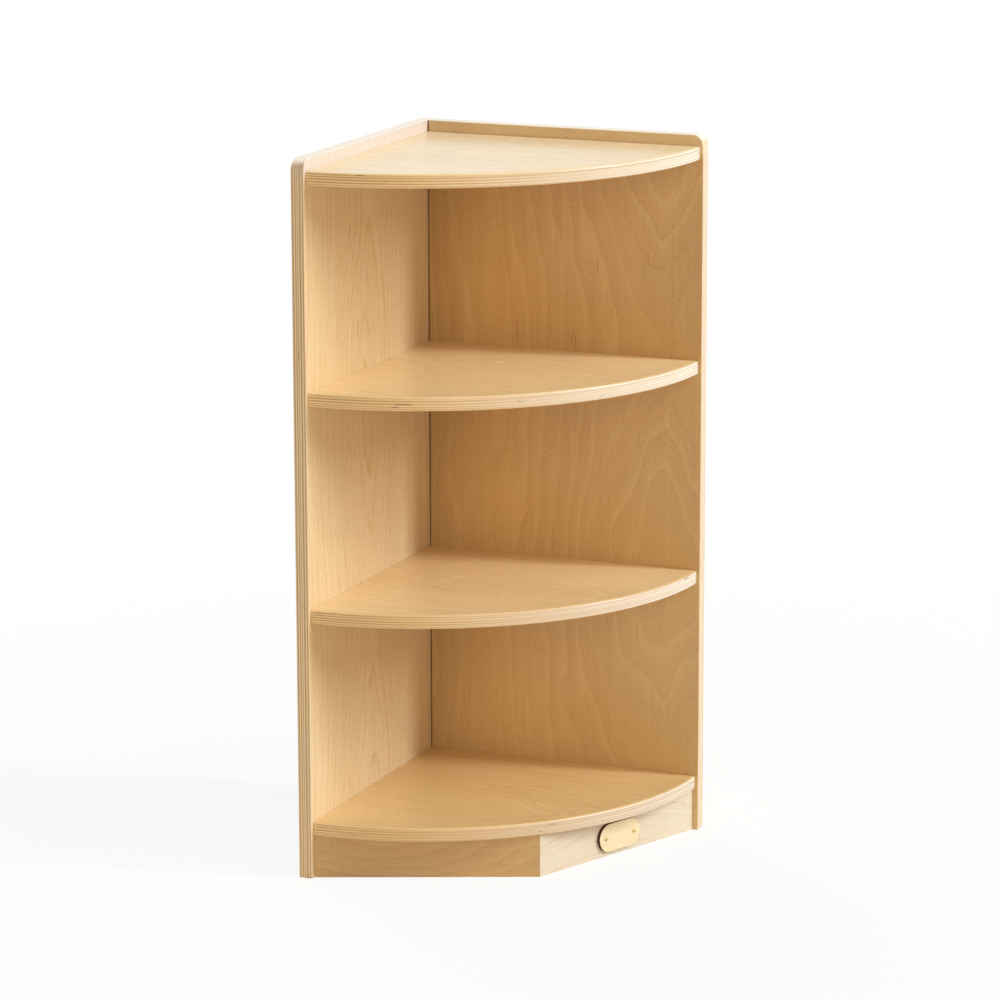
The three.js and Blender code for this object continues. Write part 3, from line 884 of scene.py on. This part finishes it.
TAG_WIDTH = 0.062
TAG_HEIGHT = 0.031
TAG_THICKNESS = 0.004
TAG_MIDDLE_HEIGHT = 0.021
TAG_END_STEPS = 24
TAG_ARRIS = 0.0005
TAG_ARRIS_STEPS = 4
TAG_FIBRE_STRETCH = Vector((60, 900, 900))
TAG_CLOUD_STRETCH = Vector((30, 160, 160))
TAG_FIBRE_TONE = 0.45
TAG_CLOUD_TONE = 0.5
TAG_ROUGHNESS = 0.5
TAG_RELIEF = {"Strength": 0.3, "Distance": 0.0001}
TAG_PALE = linear(242, 226, 194)
TAG_DEEP = linear(212, 182, 138)

SCORCH_FACING = (0.25, 0.9)
SCORCH_SCALE = 700.0
SCORCH_ROUGHNESS = 0.3
SCORCH_DARK = linear(34, 15, 5)
SCORCH_PALE = linear(74, 38, 14)

TAG_SCREW_SPREAD = 0.0434
TAG_SCREW_RADIUS = 0.0024
TAG_SCREW_DOME = 0.0013
TAG_SCREW_SIDES = 32
TAG_SCREW_RINGS = 6
TAG_SCREW_FLAT_RINGS = 0.6
BRASS_COLOR = linear(206, 172, 112)
BRASS_ROUGHNESS = 0.3


def tag_frame():
    """Turns the tag's X along the right kick board, its Y up and its Z out of the board's
    face, and moves its middle to the middle of that face's length."""
    node = "right_kick_board"
    along = kick_grain["right"]
    outward = -kick_inward["right"]
    reach = farthest(node, outward).dot(outward)
    face_ends = (farthest(node, outward + along), farthest(node, outward - along))
    middle = sum(end.dot(along) for end in face_ends) / 2
    place = outward * reach + along * middle + Z * TAG_MIDDLE_HEIGHT
    return Matrix.Translation(place) @ Matrix((along, Z, outward)).transposed().to_4x4()


def oval(bm, inset, height):
    end_radius = TAG_HEIGHT / 2
    half_length = TAG_WIDTH / 2 - end_radius
    radius = end_radius - inset
    points = []
    for end, start in ((half_length, -math.pi / 2), (-half_length, math.pi / 2)):
        for i in range(TAG_END_STEPS + 1):
            turn = start + math.pi * i / TAG_END_STEPS
            points.append(bm.verts.new((end + radius * math.cos(turn), radius * math.sin(turn), height)))
    return points


def tag_plate(bm):
    rings = [oval(bm, 0, 0)]
    for i in range(TAG_ARRIS_STEPS + 1):
        turn = math.pi / 2 * i / TAG_ARRIS_STEPS
        rings.append(oval(bm, TAG_ARRIS * (1 - math.cos(turn)),
                          TAG_THICKNESS - TAG_ARRIS * (1 - math.sin(turn))))
    close_rings(bm, rings)


def tag_screw(bm):
    """A small domed head, standing on z = 0, with a small flat on top."""
    rings = [circle(bm, TAG_SCREW_RADIUS, 0, TAG_SCREW_SIDES)]
    for i in range(TAG_SCREW_RINGS):
        turn = math.pi / 2 * (i + 1) / (TAG_SCREW_RINGS + TAG_SCREW_FLAT_RINGS)
        rings.append(circle(bm, TAG_SCREW_RADIUS * math.cos(turn), TAG_SCREW_DOME * math.sin(turn),
                            TAG_SCREW_SIDES))
    close_rings(bm, rings)


def tag_material():
    """Pale wood on the flat face and scorched wood round the edge."""
    material, g, surface = new_material("tag_birch")
    at = g.object_place()
    fibre = g.noise(g.vector("MULTIPLY", at, TAG_FIBRE_STRETCH), detail=3.0)
    cloud = g.noise(g.vector("MULTIPLY", at, TAG_CLOUD_STRETCH))
    cloud = g.math("MULTIPLY", cloud, TAG_CLOUD_TONE)
    tone = g.math("MULTIPLY_ADD", fibre, TAG_FIBRE_TONE, cloud, clamp=True)
    wood = g.mix(tone, TAG_PALE, TAG_DEEP)
    normal = g.add("ShaderNodeTexCoord").outputs["Normal"]
    facing = g.math("ABSOLUTE", g.add("ShaderNodeSeparateXYZ", {0: normal}).outputs[2])
    scorched = g.span(facing, *SCORCH_FACING, 1.0, 0.0)
    burnt = g.mix(g.noise(at, SCORCH_SCALE), SCORCH_DARK, SCORCH_PALE)
    rough = g.math("MULTIPLY_ADD", scorched, SCORCH_ROUGHNESS, TAG_ROUGHNESS)
    g.put(surface.inputs["Base Color"], g.mix(scorched, wood, burnt))
    g.put(surface.inputs["Roughness"], rough)
    g.put(surface.inputs["Normal"], g.bump(fibre, TAG_RELIEF))
    return material


def place_tag():
    on_board = tag_frame()
    tag = finished("tag", tag_plate, tag_material())
    tag.matrix_world = on_board
    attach(tag, "root")
    brass = plated_metal("tag_screw_brass", BRASS_COLOR, BRASS_ROUGHNESS)
    for i, share in enumerate((-0.5, 0.5)):
        piece = finished("tag_screw_%d" % (i + 1), tag_screw, brass)
        on_tag = Matrix.Translation((share * TAG_SCREW_SPREAD, 0, TAG_THICKNESS))
        piece.matrix_world = on_board @ on_tag
        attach(piece, "root")


place_tag()


# Camera, fitted to the photo's corners and arcs. The angles are in degrees, the lens in mm.

CAMERA_AZIMUTH = 22.59
CAMERA_PITCH = 12.81
CAMERA_ROLL = -0.13
CAMERA_PLACE = (1.7104, -4.1219, 1.4003)
CAMERA_LENS = 156.9


def place_camera():
    data = bpy.data.cameras.new("camera")
    data.lens = CAMERA_LENS
    camera = bpy.data.objects.new("camera", data)
    bpy.context.scene.collection.objects.link(camera)
    turned = (Matrix.Rotation(math.radians(CAMERA_AZIMUTH), 4, "Z")
              @ Matrix.Rotation(math.radians(90 - CAMERA_PITCH), 4, "X")
              @ Matrix.Rotation(math.radians(CAMERA_ROLL), 4, "Z"))
    camera.matrix_world = Matrix.Translation(CAMERA_PLACE) @ turned
    bpy.context.scene.camera = camera


place_camera()


# Floor and background

# The floor's white share grows to 1 away from the unit, so that the unit's shadow shows and
# the floor's far edge doesn't
FLOOR_HALF = 12.0
FLOOR_WHITE_SHARE = 0.87
FLOOR_WHITE_REACH = (0.5, 1.8)
FLOOR_COLOR = (0.90, 0.84, 0.75, 1)
FLOOR_ROUGHNESS = 0.9
WORLD_COLOR = (0.01, 0.008, 0.006, 1)
WHITE = (1, 1, 1, 1)


def seen_directly(g):
    """1 for rays that show the background itself: camera, glossy and transmission rays."""
    path = g.add("ShaderNodeLightPath").outputs
    bare = g.math("MAXIMUM", path["Is Camera Ray"], path["Is Glossy Ray"])
    return g.math("MAXIMUM", bare, path["Is Transmission Ray"])


def floor_material():
    material, g, diffuse = new_material("floor_white")
    diffuse.inputs["Base Color"].default_value = FLOOR_COLOR
    diffuse.inputs["Roughness"].default_value = FLOOR_ROUGHNESS
    glow = g.add("ShaderNodeEmission", {"Color": WHITE, "Strength": 1.0})
    away = g.vector("LENGTH", g.object_place())
    white = g.span(away, *FLOOR_WHITE_REACH, FLOOR_WHITE_SHARE, 1.0)
    factor = g.math("MULTIPLY", seen_directly(g), white)
    mixed = g.add("ShaderNodeMixShader", {0: factor, 1: diffuse.outputs[0], 2: glow.outputs[0]})
    g.put(material.node_tree.nodes["Material Output"].inputs["Surface"], mixed.outputs[0])
    return material


def place_floor():
    mesh = bpy.data.meshes.new("floor")
    half = FLOOR_HALF
    corners = [(-half, -half, 0), (half, -half, 0), (half, half, 0), (-half, half, 0)]
    mesh.from_pydata(corners, [], [(0, 1, 2, 3)])
    mesh.materials.append(floor_material())
    floor = bpy.data.objects.new("floor", mesh)
    bpy.context.scene.collection.objects.link(floor)


def set_background():
    world = bpy.data.worlds.new("studio")
    bpy.context.scene.world = world
    world.use_nodes = True
    g = Graph(world.node_tree)
    background = world.node_tree.nodes["Background"]
    g.put(background.inputs["Color"], g.mix(seen_directly(g), WORLD_COLOR, WHITE))


place_floor()
set_background()


# Lamps

LIGHT_TARGET = Vector((0, 0, 0.4))


def area_light(name, azimuth, elevation, distance, width, height, power, color):
    """A soft panel of light that faces the middle of the unit. Its direction is in degrees,
    azimuth from +X towards +Y and elevation above the floor, and its power in watts."""
    data = bpy.data.lights.new(name, "AREA")
    data.color = color
    data.shape = "RECTANGLE"
    data.size = width
    data.size_y = height
    data.energy = power
    lamp = bpy.data.objects.new(name, data)
    bpy.context.scene.collection.objects.link(lamp)
    turn = math.radians(azimuth)
    rise = math.radians(elevation)
    away = Vector((math.cos(rise) * math.cos(turn), math.cos(rise) * math.sin(turn), math.sin(rise)))
    lamp.location = LIGHT_TARGET + away * distance
    lamp.rotation_euler = away.to_track_quat("Z", "Y").to_euler()


area_light("strip", azimuth=10.5, elevation=27.5, distance=8.0, width=1.0, height=4.2,
           power=535, color=(0.84, 0.95, 1.0))
area_light("window", azimuth=-20, elevation=52, distance=8.0, width=3.5, height=6.7,
           power=238, color=(1.0, 0.98, 0.93))
area_light("front", azimuth=-58, elevation=17, distance=8.0, width=3.5, height=3.6,
           power=168, color=(1.0, 0.87, 0.68))
area_light("back", azimuth=150, elevation=58, distance=4.5, width=2.5, height=2.5,
           power=62, color=(1.0, 0.98, 0.94))
area_light("low_back", azimuth=140, elevation=7, distance=5.0, width=2.5, height=1.0,
           power=120, color=(1.0, 0.95, 0.88))

bpy.context.scene.view_settings.view_transform = "Standard"
